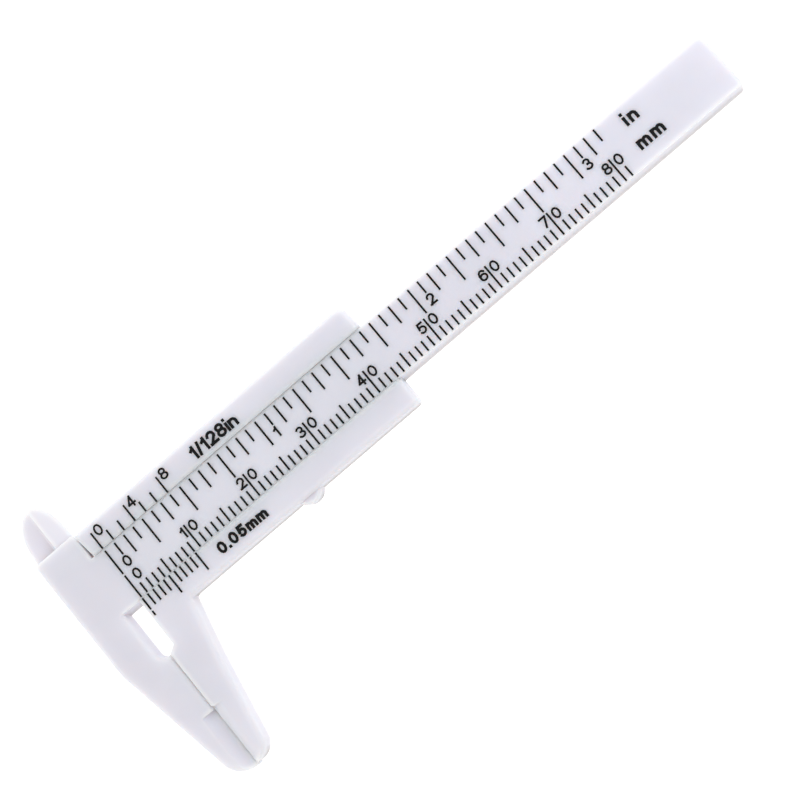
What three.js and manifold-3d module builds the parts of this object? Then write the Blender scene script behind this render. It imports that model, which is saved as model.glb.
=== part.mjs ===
// A pocket caliper moulded in white plastic, lying on its back with its jaws closed.
// Lengths are in millimetres. The pieces are drawn with x along the rule, from the scale's zero
// to the free end, y across the rule towards the inside blades, and z out of the front face,
// with the back at z = 0.
import * as THREE from 'three';
import { mergeVertices, toCreasedNormals } from 'three/addons/utils/BufferGeometryUtils.js';
import Module from 'manifold-3d';

// Thicknesses and running clearances
const bodyThickness = 3.5;
const backWallThickness = 0.7;
const slideClearance = 0.03;
const jawClearance = 0.04;
const sliderProud = 0.12;
const overrun = 4;

// Rule: a bar with flared sides, which hold the slider on it
const ruleFaceWidth = 8.05;
const ruleFlare = 0.5;
const ruleLength = 98.3;
const ruleEndRounding = 0.5;
const ruleEdgeRounding = 0.05;
const scaleMargin = 0.15;
const ruleRootDepth = 5;

// Head and fixed outside jaw
const headLeft = -8.7;
const headTop = 11.9;
const headRounding = 0.75;
const headPlateRight = -2;
const headPlateRounding = 0.2;
const headPlateCornerRadius = 0.45;
const headCornerRadius = 0.7;
const jawShoulderX = -8.6;
const jawShoulderY = -6;
const jawBlendRadius = 2;
const jawTipX = -4.9;
const jawTipY = -25.6;
const jawTipRadius = 3.3;
const fixedFaceX = -1.75;
const jawFaceTop = -7.9;
const fixedFaceBottom = -16.8;
const movingFaceBottom = -16.5;
const fixedEdgeRounding = 0.7;
const reliefDepth = 1.55;
const reliefRadius = 1.2;
const reliefEdgeRounding = 0.5;
const tipCornerRadius = 0.85;
const tipCornerRun = 3;
const tipCornerDrop = 1.6;

// Scoops that thin the lower ends of the outside jaws
const fixedScoopWidth = 2;
const fixedScoopDepth = 0.75;
const movingScoopWidth = 1.6;
const movingScoopDepth = 0.5;
const scoopCornerRadius = 0.4;

// Inside blades: the fixed one is in the front half of the thickness, the moving one behind it
const bladeEdgeX = -5.15;
const fixedBladeWidth = 2.85;
const fixedBladeTipY = 18.45;
const fixedBladeBendY = 13;
const fixedBladeBow = 0.2;
const fixedBladeInset = 0.7;
const fixedBladeRounding = 0.2;
const fixedBladeTipRadius = 0.38;
const movingBladeWidth = 3.55;
const movingBladeTipY = 18.6;
const movingBladeBendY = 12.6;
const movingBladeBow = 0.25;
const movingBladeRounding = 0.5;
const movingBladeTipRadius = 0.6;
const bladeBowRise = 0.5;

// Slider
const sliderRight = 43.1;
const sliderUpperLeft = -1.55;
const sliderUpperCornerX = -1.96;
const sliderLowerLeft = -0.55;
const sliderTop = 11.7;
const sliderBottom = -4.12;
const sliderRounding = 0.6;
const sliderEdgeRounding = 0.15;
const sliderCornerRadius = 1;
const sliderLowerCornerRadius = 0.7;
const sliderUpperCornerRadius = 0.55;
const movingJawRootX = 5;
const movingJawRootRadius = 0.5;
const movingJawMidX = 3.15;
const movingJawMidY = -12;
const movingJawMidRadius = 20;
const movingJawTipX = 0.62;
const movingJawTipY = -25.35;
const movingJawTipRadius = 2.6;
const movingReliefSlant = 0.7;
const movingReliefRadius = 0.3;
const neckFilletRadius = 0.3;
const neckInset = 0.3;
const channelEdgeBreak = 0.02;

// Thumb nub under the slider
const nubX = 24.9;
const nubRadius = 1.9;
const nubReach = 1;
const nubRecess = 0.5;
const nubRounding = 0.28;

// Marks pressed into the faces and filled with ink
const stampDepth = 0.05;
const markWidth = 0.26;
const inchLength = 25.4;
const millimetreStep = 1;
const millimetreCount = 81;
const millimetreMark = 1.55;
const fiveMark = 2.15;
const tenMark = 3.5;
const inchDivisions = 16;
const inchMarkCount = 51;
const inchMarkTop = 7.55;
const inchQuarterMark = 3.8;
const inchEighthMark = 2.7;
const inchSixteenthMark = 1.85;
const millimetreVernierStep = 0.9;
const millimetreVernierCount = 10;
const millimetreVernierMark = 1.7;
const millimetreVernierLongMark = 2.75;
const zeroBreakTop = 1.85;
const zeroBreakHeight = 0.25;
const inchVernierSixteenths = 7;
const inchVernierCount = 6;
const inchVernierMark = 1.55;
const inchVernierLongMark = 2.55;

// Numerals and unit words
const numeralHeight = 1.55;
const numeralWeight = 0.28;
const millimetreNumeralBase = 1.95;
const inchNumeralBase = 3.98;
const zeroNumeralOffset = 0.9;
const inchNumeralOffset = 1;
const tensLeftGap = 0.3;
const tensRightGap = 0.4;
const vernierNumeralHeight = 1.6;
const vernierNumeralBase = 9.4;
const vernierNumeralOffset = 0.45;
const inchWordLeft = 84.4;
const inchWordWidth = 2;
const inchWordBase = 5;
const inchWordHeight = 1.9;
const millimetreWordLeft = 83.8;
const millimetreWordWidth = 4;
const millimetreWordBase = 1.6;
const millimetreWordHeight = 1.96;
const wordWeight = 0.42;
const inchReadingLeft = 16.4;
const inchReadingWidth = 7.5;
const inchReadingBase = 8.65;
const inchReadingHeight = 1.9;
const millimetreReadingLeft = 11.5;
const millimetreReadingWidth = 7.9;
const millimetreReadingBase = -2.7;
const millimetreReadingHeight = 1.65;
const readingWeight = 0.4;

// Fineness of points and round stretches
const gridStep = 1 / 1024;
const roundingSteps = 3;
const arcStepAngle = Math.PI / 14;
const bladeCurveSteps = 6;
const scoopSteps = 8;
const discSteps = 40;
const glyphStepAngle = Math.PI / 6;
const creaseAngle = Math.PI / 5;

// Places that follow from the sizes above
const front = bodyThickness;
const sliderFront = bodyThickness + sliderProud;
const ruleBack = backWallThickness + slideClearance;
const ruleLow = -scaleMargin;
const ruleHigh = ruleLow + ruleFaceWidth;
const ruleMiddle = (ruleLow + ruleHigh) / 2;
const ruleLowBack = ruleLow - ruleFlare;
const ruleHighBack = ruleHigh + ruleFlare;
const plateBack = (bodyThickness + slideClearance) / 2;
const neckFront = plateBack - slideClearance;
const headBlockTop = ruleHighBack + slideClearance / 2;
const neckBottom = ruleHighBack + 2 * slideClearance;
const movingFaceX = fixedFaceX + jawClearance;
const reliefX = fixedFaceX - reliefDepth;
const movingBladeLeft = bladeEdgeX - movingBladeWidth;
const fixedBladeRight = bladeEdgeX + fixedBladeWidth;
const inchVernierStep = (inchVernierSixteenths * inchLength) / inchDivisions / inchVernierCount;
const referenceX = (headLeft + headPlateRight) / 2;

const plastic = new THREE.MeshStandardMaterial({ color: 0xdddce2, roughness: 0.5, metalness: 0 });
const ink = new THREE.MeshStandardMaterial({ color: 0x0b0b0d, roughness: 0.6, metalness: 0 });

const wasm = await Module();
wasm.setup();

// Points are set on a fine grid, so that faces meant to be level with each other are.
function toSolid(geometry) {
  geometry.deleteAttribute('normal');
  geometry.deleteAttribute('uv');
  const places = geometry.attributes.position.array;
  places.forEach((place, i) => {
    places[i] = Math.round(place / gridStep) * gridStep;
  });
  const merged = mergeVertices(geometry);
  const mesh = new wasm.Mesh({
    numProp: 3,
    vertProperties: new Float32Array(merged.attributes.position.array),
    triVerts: new Uint32Array(merged.index.array),
  });
  return new wasm.Manifold(mesh);
}

// A named mesh of plastic, in which the floors of the pressed marks are ink.
function toMesh(name, solid, markFloor) {
  const { vertProperties, triVerts } = solid.getMesh();
  const plain = [];
  const inked = [];
  for (let i = 0; i < triVerts.length; i += 3) {
    const corners = [...triVerts.slice(i, i + 3)];
    const offFloor = corners.map((corner) => Math.abs(vertProperties[corner * 3 + 2] - markFloor));
    const level = Math.max(...offFloor) < stampDepth / 10;
    (level ? inked : plain).push(...corners);
  }
  const geometry = new THREE.BufferGeometry();
  geometry.setAttribute('position', new THREE.BufferAttribute(vertProperties, 3));
  geometry.setIndex([...plain, ...inked]);
  geometry.addGroup(0, plain.length, 0);
  geometry.addGroup(plain.length, inked.length, 1);
  const mesh = new THREE.Mesh(toCreasedNormals(geometry, creaseAngle), [plastic, ink]);
  mesh.name = name;
  mesh.position.set(-referenceX, -ruleMiddle, 0);
  return mesh;
}

function join(solids) {
  return solids.reduce((whole, solid) => whole.add(solid));
}

// An outline through corner points [x, y, radius], each corner rounded to its radius.
function rounded(corners) {
  const points = [];
  corners.forEach(([x, y, radius = 0], i) => {
    const corner = new THREE.Vector2(x, y);
    if (radius === 0) {
      points.push(corner);
      return;
    }
    const before = new THREE.Vector2(...corners.at(i - 1)).sub(corner).normalize();
    const after = new THREE.Vector2(...corners[(i + 1) % corners.length]).sub(corner).normalize();
    const halfAngle = Math.acos(before.dot(after)) / 2;
    const middle = before.clone().add(after).normalize();
    const centre = corner.clone().addScaledVector(middle, radius / Math.sin(halfAngle));
    const start = before.multiplyScalar(radius / Math.tan(halfAngle)).add(corner).sub(centre);
    const side = Math.sign(start.cross(middle.clone().negate()));
    const sweep = side * (Math.PI - 2 * halfAngle);
    const steps = Math.max(2, Math.ceil(Math.abs(sweep) / arcStepAngle));
    for (let step = 0; step <= steps; step += 1) {
      points.push(start.clone().rotateAround(new THREE.Vector2(), (sweep * step) / steps).add(centre));
    }
  });
  return points;
}

// An outline pushed along z from start to end, with the edges of its two ends rounded over.
function extrude(points, start, end, rounding) {
  const geometry = new THREE.ExtrudeGeometry(new THREE.Shape(points), {
    depth: end - start - 2 * rounding,
    bevelEnabled: rounding > 0,
    bevelThickness: rounding,
    bevelSize: rounding,
    bevelOffset: -rounding,
    bevelSegments: roundingSteps,
  });
  return geometry.translate(0, 0, start + rounding);
}

// A flat piece between two heights.
function slab(points, bottom, top, rounding = 0) {
  return toSolid(extrude(points, bottom, top, rounding));
}

// A bar along x, whose section is drawn in y and z.
function bar(section, start, end, rounding = 0) {
  const turn = new THREE.Matrix4().makeBasis(
    new THREE.Vector3(0, 1, 0),
    new THREE.Vector3(0, 0, 1),
    new THREE.Vector3(1, 0, 0),
  );
  return toSolid(extrude(section, start, end, rounding).applyMatrix4(turn));
}

// The corners of the rule's section, grown sideways and downwards by a clearance.
function ruleCorners(clearance, radius = 0) {
  return [
    [ruleLow - clearance, front, radius],
    [ruleLowBack - clearance, ruleBack - clearance, radius],
    [ruleHighBack + clearance, ruleBack - clearance, radius],
    [ruleHigh + clearance, front, radius],
  ];
}

// The fixed jaw's scoop has a flat floor and a steep bank, and the moving jaw's falls off more and more
// towards the closing line. Each gives the depth, as a share, at a share of the scoop's width.
const hollowShare = (share) => 1 - share ** 2;
const slopeShare = (share) => (1 - share) ** 2;

// The scoop that thins a jaw beside the closing line, from which it reaches left or right.
function scoop(faceX, frontZ, reach, depth, depthShare, region) {
  const beyondFace = faceX - Math.sign(reach) * overrun;
  const section = [
    new THREE.Vector2(beyondFace, frontZ + overrun),
    new THREE.Vector2(beyondFace, frontZ - depth),
  ];
  for (let step = 0; step <= scoopSteps; step += 1) {
    const share = step / scoopSteps;
    section.push(new THREE.Vector2(faceX + reach * share, frontZ - depth * depthShare(share)));
  }
  section.push(new THREE.Vector2(faceX + reach, frontZ + overrun));
  const geometry = new THREE.ExtrudeGeometry(new THREE.Shape(section), {
    depth: jawFaceTop - jawTipY + overrun,
    bevelEnabled: false,
  });
  geometry.rotateX(Math.PI / 2);
  geometry.translate(0, jawFaceTop, 0);
  return toSolid(geometry).intersect(slab(region, 0, frontZ + overrun));
}

// The curved side of a blade, from its bend towards its tip, without the tip itself.
function bladeCurve(...places) {
  const [bend, bow, tip] = places.map(([x, y]) => new THREE.Vector2(x, y));
  const curve = new THREE.QuadraticBezierCurve(bend, bow, tip).getPoints(bladeCurveSteps);
  return curve.slice(0, -1).map((point) => point.toArray());
}

function makeBeam() {
  const rootX = headPlateRight - ruleRootDepth;
  const softEnds = bar(rounded(ruleCorners(0)), rootX, ruleLength, ruleEndRounding);
  const softSides = bar(rounded(ruleCorners(0, ruleEdgeRounding)), rootX - overrun, ruleLength + overrun);
  const rule = softEnds.intersect(softSides);

  const outside = slab(rounded([
    [headLeft, headTop + overrun],
    [jawShoulderX, jawShoulderY, jawBlendRadius],
    [jawTipX, jawTipY, jawTipRadius],
    [fixedFaceX + overrun, jawTipY],
    [fixedFaceX + overrun, headTop + overrun],
  ]), -overrun, front, headRounding);

  const block = slab(rounded([
    [headLeft - overrun, headBlockTop],
    [headLeft - overrun, jawTipY - overrun],
    [fixedFaceX - tipCornerRun, jawTipY - tipCornerDrop],
    [fixedFaceX, jawTipY, tipCornerRadius],
    [fixedFaceX, headBlockTop],
  ]), -overrun, front, fixedEdgeRounding);

  const relieved = slab(rounded([
    [headLeft - overrun, headBlockTop + overrun],
    [headLeft - overrun, jawTipY - overrun],
    [fixedFaceX + overrun, jawTipY - overrun],
    [fixedFaceX + overrun, jawFaceTop],
    [reliefX, jawFaceTop, reliefRadius],
    [reliefX, headBlockTop + overrun],
  ]), 0, front, reliefEdgeRounding);

  const plate = slab(rounded([
    [headLeft, ruleMiddle],
    [headPlateRight, ruleMiddle],
    [headPlateRight, headTop, headPlateCornerRadius],
    [headLeft, headTop, headCornerRadius],
  ]), plateBack, front, headPlateRounding);

  const blade = slab(rounded([
    [bladeEdgeX, ruleMiddle],
    [fixedBladeRight, ruleMiddle],
    ...bladeCurve(
      [fixedBladeRight, fixedBladeBendY],
      [fixedBladeRight - fixedBladeBow, fixedBladeTipY - bladeBowRise],
      [bladeEdgeX, fixedBladeTipY],
    ),
    [bladeEdgeX, fixedBladeTipY, fixedBladeTipRadius],
  ]), plateBack, front - fixedBladeInset, fixedBladeRounding);

  const thinned = scoop(fixedFaceX, front, -fixedScoopWidth, fixedScoopDepth, hollowShare, rounded([
    [fixedFaceX - fixedScoopWidth - overrun, fixedFaceBottom],
    [fixedFaceX - fixedScoopWidth - overrun, jawTipY - overrun],
    [fixedFaceX + overrun, jawTipY - overrun],
    [fixedFaceX + overrun, fixedFaceBottom],
  ]));

  const head = join([block.intersect(relieved), plate]).intersect(outside);
  return join([head, blade, rule]).subtract(thinned);
}

function makeSlider() {
  const outside = slab(rounded([
    [sliderUpperLeft - overrun, sliderTop],
    [sliderUpperLeft - overrun, movingJawTipY],
    [movingJawTipX, movingJawTipY, movingJawTipRadius],
    [movingJawMidX, movingJawMidY, movingJawMidRadius],
    [movingJawRootX, sliderBottom, movingJawRootRadius],
    [sliderRight, sliderBottom, sliderLowerCornerRadius],
    [sliderRight, sliderTop, sliderCornerRadius],
  ]), -overrun, sliderFront, sliderRounding);

  const inside = slab(rounded([
    [movingFaceX, jawTipY, tipCornerRadius],
    [movingFaceX + tipCornerRun, jawTipY - tipCornerDrop],
    [sliderRight + overrun, jawTipY - overrun],
    [sliderRight + overrun, sliderTop + overrun],
    [sliderUpperCornerX + sliderUpperCornerRadius, sliderTop + overrun],
    [sliderUpperCornerX + sliderUpperCornerRadius, sliderTop],
    [sliderUpperCornerX, sliderTop - sliderUpperCornerRadius, sliderUpperCornerRadius],
    [sliderUpperLeft, ruleHigh],
    [sliderUpperLeft, ruleMiddle],
    [sliderLowerLeft, ruleMiddle],
    [sliderLowerLeft, jawFaceTop + movingReliefSlant, movingReliefRadius],
    [movingFaceX, jawFaceTop],
  ]), 0, sliderFront, sliderEdgeRounding);

  const neck = slab(rounded([
    [movingBladeLeft, neckBottom],
    [sliderLowerLeft + overrun, neckBottom],
    [sliderLowerLeft + overrun, sliderTop - neckInset],
    [bladeEdgeX, sliderTop - neckInset, neckFilletRadius],
    [bladeEdgeX, movingBladeTipY, movingBladeTipRadius],
    ...bladeCurve(
      [movingBladeLeft, movingBladeBendY],
      [movingBladeLeft + movingBladeBow, movingBladeTipY - bladeBowRise],
      [bladeEdgeX, movingBladeTipY],
    ).reverse(),
  ]), 0, neckFront, movingBladeRounding);

  const channel = bar(rounded([
    ...ruleCorners(slideClearance),
    [ruleHigh + slideClearance, sliderFront - channelEdgeBreak],
    [ruleHigh + slideClearance + channelEdgeBreak + overrun, sliderFront + overrun],
    [ruleLow - slideClearance - channelEdgeBreak - overrun, sliderFront + overrun],
    [ruleLow - slideClearance, sliderFront - channelEdgeBreak],
  ]), sliderUpperLeft - overrun, sliderRight + overrun);

  const movingDepth = movingScoopDepth + sliderProud;
  const thinned = scoop(movingFaceX, sliderFront, movingScoopWidth, movingDepth, slopeShare, rounded([
    [movingFaceX, movingFaceBottom, scoopCornerRadius],
    [movingFaceX, movingFaceBottom + 2 * scoopCornerRadius],
    [movingFaceX - overrun, movingFaceBottom + 2 * scoopCornerRadius],
    [movingFaceX - overrun, jawTipY - overrun],
    [movingFaceX + movingScoopWidth + overrun, jawTipY - overrun],
    [movingFaceX + movingScoopWidth + overrun, movingFaceBottom],
  ]));

  const nubCentreY = sliderBottom - nubReach + nubRadius;
  const nubCircle = new THREE.EllipseCurve(nubX, nubCentreY, nubRadius, nubRadius);
  const nub = slab(nubCircle.getPoints(discSteps).slice(1), 0, front - nubRecess, nubRounding);

  const body = outside.intersect(inside).subtract(channel);
  return join([body, neck, nub]).subtract(thinned);
}

// A cut for one mark, from its floor to well above the face.
function stamp(points, face) {
  return slab(points, face - stampDepth, face + overrun);
}

function mark(x, low, high, face) {
  const reach = markWidth / 2;
  return stamp(rounded([[x - reach, low], [x + reach, low], [x + reach, high], [x - reach, high]]), face);
}

function millimetreMarks() {
  const marks = [];
  for (let i = 0; i <= millimetreCount; i += 1) {
    const short = i % 5 === 0 ? fiveMark : millimetreMark;
    marks.push(mark(i * millimetreStep, 0, i % 10 === 0 ? tenMark : short, front));
  }
  return marks;
}

function inchMarks() {
  const marks = [];
  for (let i = 0; i <= inchMarkCount; i += 1) {
    const short = i % 2 === 0 ? inchEighthMark : inchSixteenthMark;
    const length = i % 4 === 0 ? inchQuarterMark : short;
    marks.push(mark((i * inchLength) / inchDivisions, inchMarkTop - length, inchMarkTop, front));
  }
  return marks;
}

// The zero of this vernier has a small break in its line.
function millimetreVernierMarks() {
  const marks = [];
  for (let i = 0; i <= millimetreVernierCount; i += 1) {
    const x = i * millimetreVernierStep;
    const length = i % 5 === 0 ? millimetreVernierLongMark : millimetreVernierMark;
    const low = ruleLow - slideClearance - length;
    marks.push(mark(x, i === 0 ? ruleLow - zeroBreakTop : low, ruleLow, sliderFront));
    if (i === 0) marks.push(mark(x, low, ruleLow - zeroBreakTop - zeroBreakHeight, sliderFront));
  }
  return marks;
}

function inchVernierMarks() {
  const marks = [];
  for (let i = 0; i <= inchVernierCount; i += 1) {
    const length = i % 3 === 0 ? inchVernierLongMark : inchVernierMark;
    marks.push(mark(i * inchVernierStep, ruleHigh, ruleHigh + slideClearance + length, sliderFront));
  }
  return marks;
}

// Each character is a set of pen strokes. Its width is a share of the capital height, and its strokes
// are in shares of the box that the pen's centre can reach: lines by their points, arcs by centre x,
// centre y, radius x, radius y, start angle and end angle in degrees, and rings by the first four.
const glyphShares = {
  0: { width: 0.74, rings: [[0.5, 0.5, 0.5, 0.5]] },
  1: { width: 0.48, lines: [[[0.85, 0], [0.85, 1]], [[0.12, 0.74], [0.8, 0.9]]] },
  2: {
    width: 0.74,
    lines: [[[0.9, 0.56], [0.1, 0]], [[0, 0], [1, 0]]],
    arcs: [[0.5, 0.7, 0.46, 0.3, 172, -32]],
  },
  3: { width: 0.74, arcs: [[0.46, 0.75, 0.42, 0.25, 150, -90], [0.48, 0.26, 0.5, 0.26, 90, -150]] },
  4: { width: 0.76, lines: [[[0.7, 0], [0.7, 1]], [[0.7, 1], [0.02, 0.28]], [[0, 0.25], [1, 0.25]]] },
  5: {
    width: 0.74,
    lines: [[[0.2, 1], [0.9, 1]], [[0.2, 1], [0.08, 0.46]]],
    arcs: [[0.47, 0.32, 0.5, 0.32, 125, -140]],
  },
  6: { width: 0.74, rings: [[0.5, 0.31, 0.5, 0.31]], arcs: [[0.53, 0.5, 0.53, 0.5, 40, 200]] },
  7: { width: 0.72, lines: [[[0, 1], [1, 1]], [[1, 1], [0.3, 0]]] },
  8: { width: 0.74, rings: [[0.5, 0.76, 0.42, 0.24], [0.5, 0.27, 0.5, 0.27]] },
  '/': { width: 0.4, lines: [[[0, 0], [1, 1]]] },
  '.': { width: 0, lines: [[[0, 0], [0, 0]]] },
  i: { width: 0, lines: [[[0.5, 0], [0.5, 0.6]], [[0.5, 1], [0.5, 1]]] },
  n: {
    width: 0.66,
    lines: [[[0, 0], [0, 0.6]], [[1, 0], [1, 0.34]]],
    arcs: [[0.5, 0.34, 0.5, 0.26, 180, 0]],
  },
  m: {
    width: 0.94,
    lines: [[[0, 0], [0, 0.6]], [[0.5, 0], [0.5, 0.34]], [[1, 0], [1, 0.34]]],
    arcs: [[0.25, 0.34, 0.25, 0.26, 180, 0], [0.75, 0.34, 0.25, 0.26, 180, 0]],
  },
};

function penStroke(points, weight) {
  const ends = points.map((point) => point.clone());
  const lead = points.at(1).clone().sub(points.at(0));
  const trail = points.at(-1).clone().sub(points.at(-2));
  const level = new THREE.Vector2(0, 1);
  ends.at(0).addScaledVector(lead.length() ? lead.normalize() : level, -weight / 2);
  ends.at(-1).addScaledVector(trail.length() ? trail.normalize() : level, weight / 2);
  const left = [];
  const right = [];
  ends.forEach((point, i) => {
    const before = ends[Math.max(i - 1, 0)];
    const after = ends[Math.min(i + 1, ends.length - 1)];
    const along = after.clone().sub(before).normalize();
    const across = new THREE.Vector2(-along.y, along.x).multiplyScalar(weight / 2);
    left.push(point.clone().sub(across));
    right.unshift(point.clone().add(across));
  });
  return [...left, ...right];
}

function characterWidth(name, height, weight) {
  return Math.max(glyphShares[name].width * height, weight);
}

function character(name, left, base, height, weight, face) {
  const { lines = [], arcs = [], rings = [] } = glyphShares[name];
  const reachX = characterWidth(name, height, weight) - weight;
  const reachY = height - weight;
  const place = (x, y) => new THREE.Vector2(left + weight / 2 + x * reachX, base + weight / 2 + y * reachY);
  const strokes = [];
  lines.forEach((line) => {
    strokes.push(stamp(penStroke(line.map(([x, y]) => place(x, y)), weight), face));
  });
  arcs.forEach(([x, y, radiusX, radiusY, start, end]) => {
    const points = [];
    const steps = Math.round(THREE.MathUtils.degToRad(Math.abs(end - start)) / glyphStepAngle);
    for (let step = 0; step <= steps; step += 1) {
      const angle = THREE.MathUtils.degToRad(start + ((end - start) * step) / steps);
      points.push(place(x + radiusX * Math.cos(angle), y + radiusY * Math.sin(angle)));
    }
    strokes.push(stamp(penStroke(points, weight), face));
  });
  rings.forEach(([x, y, radiusX, radiusY]) => {
    const centre = place(x, y);
    const [outer, hole] = [weight / 2, -weight / 2].map((grow) => {
      const radii = [radiusX * reachX + grow, radiusY * reachY + grow];
      const curve = new THREE.EllipseCurve(centre.x, centre.y, ...radii);
      return curve.getPoints(Math.round((2 * Math.PI) / glyphStepAngle)).slice(1);
    });
    strokes.push(stamp(outer, face).subtract(slab(hole, face - overrun, face + 2 * overrun)));
  });
  return join(strokes);
}

// Characters spread evenly, so that the word starts at its left and is as wide as asked.
function word(text, left, width, base, height, weight, face) {
  const widths = [...text].map((name) => characterWidth(name, height, weight));
  const gap = (width - widths.reduce((sum, each) => sum + each)) / (text.length - 1);
  let x = left;
  return [...text].map((name, i) => {
    const placed = character(name, x, base, height, weight, face);
    x += widths[i] + gap;
    return placed;
  });
}

function millimetreNumerals() {
  const numeral = (name, left) => (
    character(name, left, millimetreNumeralBase, numeralHeight, numeralWeight, front)
  );
  const numerals = [numeral('0', zeroNumeralOffset)];
  for (let tens = 1; tens * 10 <= millimetreCount; tens += 1) {
    const x = tens * 10 * millimetreStep;
    const first = String(tens);
    numerals.push(numeral(first, x - tensLeftGap - characterWidth(first, numeralHeight, numeralWeight)));
    numerals.push(numeral('0', x + tensRightGap));
  }
  return numerals;
}

function inchNumerals() {
  const numerals = [];
  for (let inch = 0; inch * inchDivisions <= inchMarkCount; inch += 1) {
    const left = inch * inchLength + (inch === 0 ? zeroNumeralOffset : inchNumeralOffset);
    numerals.push(character(String(inch), left, inchNumeralBase, numeralHeight, numeralWeight, front));
  }
  return numerals;
}

function inchVernierNumerals() {
  return ['0', '4', '8'].map((name, i) => {
    const left = i * 3 * inchVernierStep + vernierNumeralOffset;
    return character(name, left, vernierNumeralBase, vernierNumeralHeight, numeralWeight, sliderFront);
  });
}

const ruleMarks = [
  ...millimetreMarks(),
  ...inchMarks(),
  ...millimetreNumerals(),
  ...inchNumerals(),
  ...word('in', inchWordLeft, inchWordWidth, inchWordBase, inchWordHeight, wordWeight, front),
  ...word('mm', millimetreWordLeft, millimetreWordWidth, millimetreWordBase, millimetreWordHeight,
    wordWeight, front),
];

const sliderMarks = [
  ...millimetreVernierMarks(),
  ...inchVernierMarks(),
  ...inchVernierNumerals(),
  ...word('1/128in', inchReadingLeft, inchReadingWidth, inchReadingBase, inchReadingHeight,
    readingWeight, sliderFront),
  ...word('0.05mm', millimetreReadingLeft, millimetreReadingWidth, millimetreReadingBase,
    millimetreReadingHeight, readingWeight, sliderFront),
];

const caliper = new THREE.Group();
caliper.add(toMesh('main_beam', makeBeam().subtract(join(ruleMarks)), front - stampDepth));
caliper.add(toMesh('slider', makeSlider().subtract(join(sliderMarks)), sliderFront - stampDepth));

export default caliper;
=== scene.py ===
import math

import bmesh
import bpy
from mathutils import Matrix, Vector


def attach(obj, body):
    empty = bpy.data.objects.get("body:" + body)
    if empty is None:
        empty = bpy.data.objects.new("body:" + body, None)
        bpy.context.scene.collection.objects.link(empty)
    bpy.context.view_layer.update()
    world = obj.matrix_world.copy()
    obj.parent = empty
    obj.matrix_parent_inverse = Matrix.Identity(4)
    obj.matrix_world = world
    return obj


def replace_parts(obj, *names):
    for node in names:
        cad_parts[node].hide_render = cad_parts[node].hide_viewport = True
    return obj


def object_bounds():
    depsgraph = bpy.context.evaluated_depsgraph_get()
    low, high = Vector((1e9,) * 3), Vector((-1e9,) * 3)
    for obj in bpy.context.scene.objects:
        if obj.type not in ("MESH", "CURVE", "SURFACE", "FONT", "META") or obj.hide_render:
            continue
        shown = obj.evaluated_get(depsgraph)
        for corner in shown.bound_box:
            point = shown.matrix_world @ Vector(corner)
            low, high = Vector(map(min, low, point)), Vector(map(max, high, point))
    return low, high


MM = 0.001
WHITE = (1, 1, 1)

# The plastic, with the slow waves and the fine grain of its moulding
PLASTIC_COLOUR = (0.80, 0.79, 0.842)
PLASTIC_ROUGHNESS = 0.36
PLASTIC_GLOW = 1
GLOW_REACH = 1.8 * MM
GLOW_TINT = (1.0, 0.88, 0.82)
WAVE_SIZE = 9 * MM
WAVE_HEIGHT = 0.015 * MM
WAVE_DETAIL = 2
GRAIN_SIZE = 0.12 * MM
GRAIN_HEIGHT = 0.004 * MM
GRAIN_DETAIL = 1

# How bright the plastic is, as shares of its colour, at shares of a wave's height
WAVE_TONE_SHARES = ((0.3, 0.975), (0.7, 1.02))

# Layers of painted light and shade over the plastic's colour: a painted highlight makes its outer edges
# paler, painted shade makes its level faces darker near a taller wall and its walls that face -Y darker at
# their foot, and painted fill light makes its nooks, where little light comes, paler.
# A deep share and an open share say how open a place is where a layer is full and where it is gone.
# The level and tilted shares say the same of the second layer by how far a face looks up, and the dim and
# lit side shares say it of the third by how far a wall looks along +Y.
OPENNESS_SAMPLES = 8
# Painted highlight on the outer edges
EDGE_HIGHLIGHT_COLOUR = (0.98, 0.965, 0.98)
EDGE_HIGHLIGHT_REACH = 0.7 * MM
EDGE_HIGHLIGHT_DEEP_SHARE = 0.5
EDGE_HIGHLIGHT_OPEN_SHARE = 0.98
# Painted shade on level faces near a taller wall
SHADE_COLOUR = (0.6, 0.55, 0.56)
SHADE_REACH = 4 * MM
SHADE_DEEP_SHARE = 0.3
SHADE_OPEN_SHARE = 0.76
LEVEL_SHARE = 1
TILTED_SHARE = 0.97
# Painted shade at the foot of walls that face -Y
FOOT_SHADE_COLOUR = (0.4, 0.375, 0.35)
FOOT_SHADE_HEIGHT = 2.6 * MM
DIM_SIDE_SHARE = -0.95
LIT_SIDE_SHARE = -0.7
# Painted fill light in the nooks
NOOK_FILL_LIGHT_COLOUR = (0.93, 0.89, 0.895)
NOOK_FILL_REACH = 0.6 * MM
NOOK_FILL_DEEP_SHARE = 0.1
NOOK_FILL_OPEN_SHARE = 0.6

# The ink
INK_COLOUR = (0.003, 0.003, 0.0035)
INK_ROUGHNESS = 0.5
INK_SHINE = 0.2

# How the mouldings and the ink are made from the solids
MERGE_DISTANCE = 0.0002 * MM
FLAT_ANGLE = math.radians(0.5)
SHARP_ANGLE = math.radians(36)
STAMP_DEPTH = 0.05 * MM
STAMP_TOLERANCE = 0.004 * MM
STAMP_LEVEL_SHARE = 0.99
INK_SIDE_GAP = 0.004 * MM
INK_TOP_GAP = 0.008 * MM

# The camera, as the photograph was taken: where it stands and which ways its picture's right and up point
CAMERA_PLACE = Vector((72.49, -39.335, 248.36)) * MM
CAMERA_RIGHT = Vector((0.75557, -0.63384, -0.16542))
CAMERA_UP = Vector((0.64676, 0.7619, 0.03478))
CAMERA_LENS = 90
CAMERA_NEAR = 10 * MM
CAMERA_FAR = 20

# The table, which the camera sees glow more brightly than it lights the tool
TABLE_SIDE = 6
TABLE_COLOUR = (0.9, 0.9, 0.9)
TABLE_GLOW_SHARE = 0.5
TABLE_GLOW = 1.55
TABLE_EXTRA_SEEN_GLOW = 0.45

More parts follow.
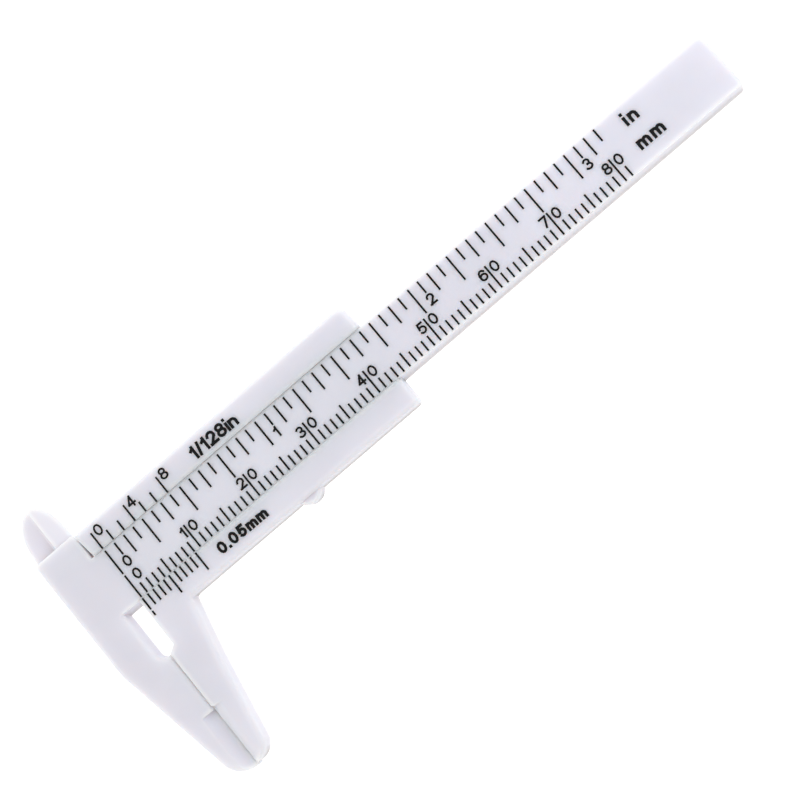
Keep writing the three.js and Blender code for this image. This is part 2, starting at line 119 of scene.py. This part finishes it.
# The sky: its brightness, as shares of its power, at heights on a dome of radius 1, and the way in which
# it is brighter on one side
SKY_RING_SHARES = ((0, 0.6), (0.3, 0.95), (0.6, 1), (0.9, 0.6))
SKY_POWER = 1.03
SKY_LEAN = (-0.24, 0.24, 0)

# A bluish lamp beyond the rule's free end
SIDE_LIGHT_PLACE = Vector((200, 60, 150)) * MM
SIDE_LIGHT_SIZE = 150 * MM
SIDE_LIGHT_POWER = 0.13
SIDE_LIGHT_COLOUR = (0.78, 0.86, 1)


def opaque(colour, brightness=1):
    """A colour with its three parts scaled and its alpha at one."""
    return (*(brightness * part for part in colour), 1)


def shader_nodes(owner):
    """An empty node tree of a material or world, as its nodes and links."""
    owner.use_nodes = True
    owner.node_tree.nodes.clear()
    return owner.node_tree.nodes, owner.node_tree.links


def principled_material(name, roughness):
    """A new material with one principled shader: the material, its nodes and links, and the shader."""
    material = bpy.data.materials.new(name)
    nodes, links = shader_nodes(material)
    output = nodes.new("ShaderNodeOutputMaterial")
    surface = nodes.new("ShaderNodeBsdfPrincipled")
    surface.inputs["Roughness"].default_value = roughness
    links.new(surface.outputs["BSDF"], output.inputs["Surface"])
    return material, nodes, links, surface


def part_along(nodes, links, vector, axis):
    """A vector's part along one axis."""
    split = nodes.new("ShaderNodeSeparateXYZ")
    links.new(vector, split.inputs["Vector"])
    return split.outputs[axis]


def ramp(nodes, links, value, start, end):
    """0 where the value is at the start or short of it, 1 at the end or past it."""
    spread = nodes.new("ShaderNodeMapRange")
    spread.inputs["From Min"].default_value = start
    spread.inputs["From Max"].default_value = end
    links.new(value, spread.inputs["Value"])
    return spread.outputs["Result"]


def tone_ramp(nodes, links, value, colour, tone_shares):
    """A colour that changes its brightness with a value, through pairs of a value and a brightness."""
    spread = nodes.new("ShaderNodeValToRGB")
    stops = spread.color_ramp.elements
    while len(stops) < len(tone_shares):
        stops.new(1)
    for stop, (position, brightness) in zip(stops, tone_shares):
        stop.position = position
        stop.color = opaque(colour, brightness)
    links.new(value, spread.inputs["Fac"])
    return spread.outputs["Color"]


def larger(nodes, links, first, second):
    """The larger of two values."""
    choice = nodes.new("ShaderNodeMath")
    choice.operation = "MAXIMUM"
    links.new(first, choice.inputs[0])
    links.new(second, choice.inputs[1])
    return choice.outputs["Value"]


def scaled_sum(nodes, links, value, factor, addend):
    """A value times a factor, plus an addend, which is a number or another value."""
    total = nodes.new("ShaderNodeMath")
    total.operation = "MULTIPLY_ADD"
    links.new(value, total.inputs[0])
    total.inputs[1].default_value = factor
    if isinstance(addend, bpy.types.NodeSocket):
        links.new(addend, total.inputs[2])
    else:
        total.inputs[2].default_value = addend
    return total.outputs["Value"]


def openness(nodes, links, reach, deep_share, open_share, inside=False):
    """0 deep in a corner, 1 on an open face; seen from inside the solid, 0 at an outer edge."""
    occlusion = nodes.new("ShaderNodeAmbientOcclusion")
    occlusion.inside = inside
    occlusion.only_local = inside
    occlusion.samples = OPENNESS_SAMPLES
    occlusion.inputs["Distance"].default_value = reach
    return ramp(nodes, links, occlusion.outputs["AO"], deep_share, open_share)


def layer(nodes, links, share_bare, colour, below):
    """A layer of one colour over what lies below, which is bare where its share is 1."""
    mix = nodes.new("ShaderNodeMixRGB")
    mix.inputs["Color1"].default_value = opaque(colour)
    links.new(share_bare, mix.inputs["Fac"])
    links.new(below, mix.inputs["Color2"])
    return mix.outputs["Color"]


def soft_noise(nodes, links, place, size, detail):
    """A random value that swells and sinks over about the given size."""
    noise = nodes.new("ShaderNodeTexNoise")
    noise.inputs["Scale"].default_value = 1 / size
    noise.inputs["Detail"].default_value = detail
    links.new(place, noise.inputs["Vector"])
    return noise.outputs["Fac"]


def relief(nodes, links, heights, full_height):
    """A bump of the surface, with heights as shares of the full height."""
    bump = nodes.new("ShaderNodeBump")
    bump.inputs["Distance"].default_value = full_height
    links.new(heights, bump.inputs["Height"])
    return bump


def plastic_tone(nodes, links, place, waves):
    """The plastic's colour: its plain tone, then layers of painted highlight on its outer edges, painted
    shade near taller walls and at the foot of walls that face -Y, and painted fill light in its nooks.
    """
    plain = tone_ramp(nodes, links, waves, PLASTIC_COLOUR, WAVE_TONE_SHARES)
    # Painted highlight: the outer edges are made paler.
    off_edge_highlight = openness(nodes, links, EDGE_HIGHLIGHT_REACH, EDGE_HIGHLIGHT_DEEP_SHARE, EDGE_HIGHLIGHT_OPEN_SHARE, inside=True)
    edge_highlighted = layer(nodes, links, off_edge_highlight, EDGE_HIGHLIGHT_COLOUR, plain)

    # Painted shade: level faces are darker near a taller wall.
    outward = nodes.new("ShaderNodeNewGeometry").outputs["True Normal"]
    upward = part_along(nodes, links, outward, "Z")
    tilted = ramp(nodes, links, upward, LEVEL_SHARE, TILTED_SHARE)
    off_wall = openness(nodes, links, SHADE_REACH, SHADE_DEEP_SHARE, SHADE_OPEN_SHARE)
    shaded = layer(nodes, links, larger(nodes, links, tilted, off_wall), SHADE_COLOUR, edge_highlighted)

    # Painted shade: walls that face -Y are darker at their foot, next to the table.
    turned = ramp(nodes, links, part_along(nodes, links, outward, "Y"), DIM_SIDE_SHARE, LIT_SIDE_SHARE)
    raised = ramp(nodes, links, part_along(nodes, links, place, "Z"), 0, FOOT_SHADE_HEIGHT)
    foot_shaded = layer(nodes, links, larger(nodes, links, turned, raised), FOOT_SHADE_COLOUR, shaded)

    # Painted fill light: nooks, where little light comes, are made paler.
    off_nook_fill = openness(nodes, links, NOOK_FILL_REACH, NOOK_FILL_DEEP_SHARE, NOOK_FILL_OPEN_SHARE)
    return layer(nodes, links, off_nook_fill, NOOK_FILL_LIGHT_COLOUR, foot_shaded)


def plastic_material():
    """White plastic that light reaches a little way into, with slow waves and a fine grain, and with painted
    highlight, shade and fill light in its colour.
    """
    material, nodes, links, surface = principled_material("white_plastic", PLASTIC_ROUGHNESS)
    surface.inputs["Subsurface Weight"].default_value = PLASTIC_GLOW
    surface.inputs["Subsurface Radius"].default_value = GLOW_TINT
    surface.inputs["Subsurface Scale"].default_value = GLOW_REACH

    place = nodes.new("ShaderNodeTexCoord").outputs["Object"]
    waves = soft_noise(nodes, links, place, WAVE_SIZE, WAVE_DETAIL)
    links.new(plastic_tone(nodes, links, place, waves), surface.inputs["Base Color"])

    grain = soft_noise(nodes, links, place, GRAIN_SIZE, GRAIN_DETAIL)
    swells = relief(nodes, links, waves, WAVE_HEIGHT)
    pits = relief(nodes, links, grain, GRAIN_HEIGHT)
    links.new(swells.outputs["Normal"], pits.inputs["Normal"])
    links.new(pits.outputs["Normal"], surface.inputs["Normal"])
    return material


def ink_material():
    """Matt black ink."""
    material, _, _, surface = principled_material("black_ink", INK_ROUGHNESS)
    surface.inputs["Base Color"].default_value = opaque(INK_COLOUR)
    surface.inputs["Specular IOR Level"].default_value = INK_SHINE
    return material


def merged_mesh(node):
    """A bmesh of a CAD node with its doubled points merged."""
    mesh = bmesh.new()
    mesh.from_mesh(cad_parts[node].data)
    bmesh.ops.remove_doubles(mesh, verts=mesh.verts, dist=MERGE_DISTANCE)
    return mesh


def new_object(name, mesh, material):
    """An object in the scene, made from a bmesh that isn't needed any more."""
    data = bpy.data.meshes.new(name)
    mesh.to_mesh(data)
    mesh.free()
    data.materials.append(material)
    thing = bpy.data.objects.new(name, data)
    bpy.context.scene.collection.objects.link(thing)
    return thing


def place_piece(name, mesh, material, body):
    """A piece of the tool, made from a bmesh, that rides on a body."""
    piece = new_object(name, mesh, material)
    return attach(piece, body)


def moulding(name, node, body, material):
    """The moulded piece itself, with its flat faces whole and its rounded edges smooth."""
    mesh = merged_mesh(node)
    bmesh.ops.dissolve_limit(mesh, angle_limit=FLAT_ANGLE, verts=mesh.verts, edges=mesh.edges)
    for edge in mesh.edges:
        edge.smooth = edge.is_manifold and edge.calc_face_angle() < SHARP_ANGLE
    for face in mesh.faces:
        face.smooth = True
    piece = place_piece(name, mesh, material, body)
    normals = piece.modifiers.new("normals", "WEIGHTED_NORMAL")
    normals.keep_sharp = True
    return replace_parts(piece, node)


def ink_layer(name, node, body, material):
    """Ink that fills the marks pressed into a node's front: the marks' floors, raised almost to the face."""
    mesh = merged_mesh(node)
    top = max(vertex.co.z for vertex in mesh.verts)
    floor = top - STAMP_DEPTH
    off_floor = [
        face
        for face in mesh.faces
        if face.normal.z < STAMP_LEVEL_SHARE
        or any(abs(vertex.co.z - floor) > STAMP_TOLERANCE for vertex in face.verts)
    ]
    bmesh.ops.delete(mesh, geom=off_floor, context="FACES")
    rims = bmesh.ops.inset_region(
        mesh, faces=mesh.faces, thickness=INK_SIDE_GAP, use_boundary=True, use_even_offset=True
    )
    bmesh.ops.delete(mesh, geom=rims["faces"], context="FACES")
    raised = bmesh.ops.extrude_face_region(mesh, geom=mesh.faces[:], use_keep_orig=True)
    for part in raised["geom"]:
        if isinstance(part, bmesh.types.BMVert):
            part.co.z = top - INK_TOP_GAP
    bmesh.ops.recalc_face_normals(mesh, faces=mesh.faces)
    return place_piece(name, mesh, material, body)


def table_material():
    """A pale table that glows like a light table, so that shadows on it stay soft."""
    material = bpy.data.materials.new("pale_table")
    nodes, links = shader_nodes(material)
    output = nodes.new("ShaderNodeOutputMaterial")
    matt = nodes.new("ShaderNodeBsdfDiffuse")
    matt.inputs["Color"].default_value = opaque(TABLE_COLOUR)
    glow = nodes.new("ShaderNodeEmission")
    seen = nodes.new("ShaderNodeLightPath").outputs["Is Camera Ray"]
    strength = scaled_sum(nodes, links, seen, TABLE_EXTRA_SEEN_GLOW, TABLE_GLOW)
    links.new(strength, glow.inputs["Strength"])
    mix = nodes.new("ShaderNodeMixShader")
    mix.inputs["Fac"].default_value = TABLE_GLOW_SHARE
    links.new(matt.outputs["BSDF"], mix.inputs[1])
    links.new(glow.outputs["Emission"], mix.inputs[2])
    links.new(mix.outputs["Shader"], output.inputs["Surface"])
    return material


def add_table():
    """The table top, level with the tool's back."""
    mesh = bmesh.new()
    bmesh.ops.create_grid(mesh, x_segments=1, y_segments=1, size=TABLE_SIDE / 2)
    table = new_object("table", mesh, table_material())
    table.location.z = cad_box[0][2]


def add_sky():
    """Soft studio light, dimmer at the zenith and brighter on the blades' side, but white to the camera."""
    world = bpy.data.worlds.new("studio")
    bpy.context.scene.world = world
    nodes, links = shader_nodes(world)
    output = nodes.new("ShaderNodeOutputWorld")
    seen = nodes.new("ShaderNodeLightPath").outputs["Is Camera Ray"]
    direction = nodes.new("ShaderNodeTexCoord").outputs["Generated"]
    upward = part_along(nodes, links, direction, "Z")
    rings = tone_ramp(nodes, links, upward, WHITE, SKY_RING_SHARES)
    lean = nodes.new("ShaderNodeVectorMath")
    lean.operation = "DOT_PRODUCT"
    lean.inputs[1].default_value = SKY_LEAN
    links.new(direction, lean.inputs[0])
    strength = scaled_sum(nodes, links, rings, SKY_POWER, lean.outputs["Value"])

    light = nodes.new("ShaderNodeBackground")
    light.inputs["Color"].default_value = opaque(WHITE)
    links.new(strength, light.inputs["Strength"])
    white = nodes.new("ShaderNodeBackground")
    white.inputs["Color"].default_value = opaque(WHITE)
    mix = nodes.new("ShaderNodeMixShader")
    links.new(seen, mix.inputs["Fac"])
    links.new(light.outputs["Background"], mix.inputs[1])
    links.new(white.outputs["Background"], mix.inputs[2])
    links.new(mix.outputs["Shader"], output.inputs["Surface"])


def add_side_light():
    """The lamp, turned towards the tool and hidden from the camera."""
    data = bpy.data.lights.new("side_light", "AREA")
    data.size = SIDE_LIGHT_SIZE
    data.energy = SIDE_LIGHT_POWER
    data.color = SIDE_LIGHT_COLOUR
    light = bpy.data.objects.new("side_light", data)
    light.location = SIDE_LIGHT_PLACE
    light.visible_camera = False
    towards = -SIDE_LIGHT_PLACE
    light.rotation_euler = towards.to_track_quat("-Z", "Y").to_euler()
    bpy.context.scene.collection.objects.link(light)


def add_camera():
    """The camera of the photograph."""
    data = bpy.data.cameras.new("camera")
    data.lens = CAMERA_LENS
    data.clip_start = CAMERA_NEAR
    data.clip_end = CAMERA_FAR
    camera = bpy.data.objects.new("camera", data)
    right = CAMERA_RIGHT.normalized()
    back = right.cross(CAMERA_UP).normalized()
    turn = Matrix((right, back.cross(right), back)).transposed()
    camera.matrix_world = Matrix.Translation(CAMERA_PLACE) @ turn.to_4x4()
    bpy.context.scene.collection.objects.link(camera)
    bpy.context.scene.camera = camera


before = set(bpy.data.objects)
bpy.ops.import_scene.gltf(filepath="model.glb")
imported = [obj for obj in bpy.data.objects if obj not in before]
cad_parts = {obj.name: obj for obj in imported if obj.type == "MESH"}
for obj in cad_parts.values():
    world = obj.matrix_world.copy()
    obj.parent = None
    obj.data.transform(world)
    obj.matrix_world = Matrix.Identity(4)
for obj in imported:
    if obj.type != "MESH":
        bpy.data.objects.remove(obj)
cad_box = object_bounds()

plastic = plastic_material()
ink = ink_material()
moulding("beam_moulding", "main_beam", "rule", plastic)
moulding("slider_moulding", "slider", "sliding_frame", plastic)
ink_layer("rule_scale_ink", "main_beam", "rule", ink)
ink_layer("vernier_scale_ink", "slider", "sliding_frame", ink)

add_table()
add_sky()
add_side_light()
add_camera()

bpy.context.scene.view_settings.view_transform = "Standard"
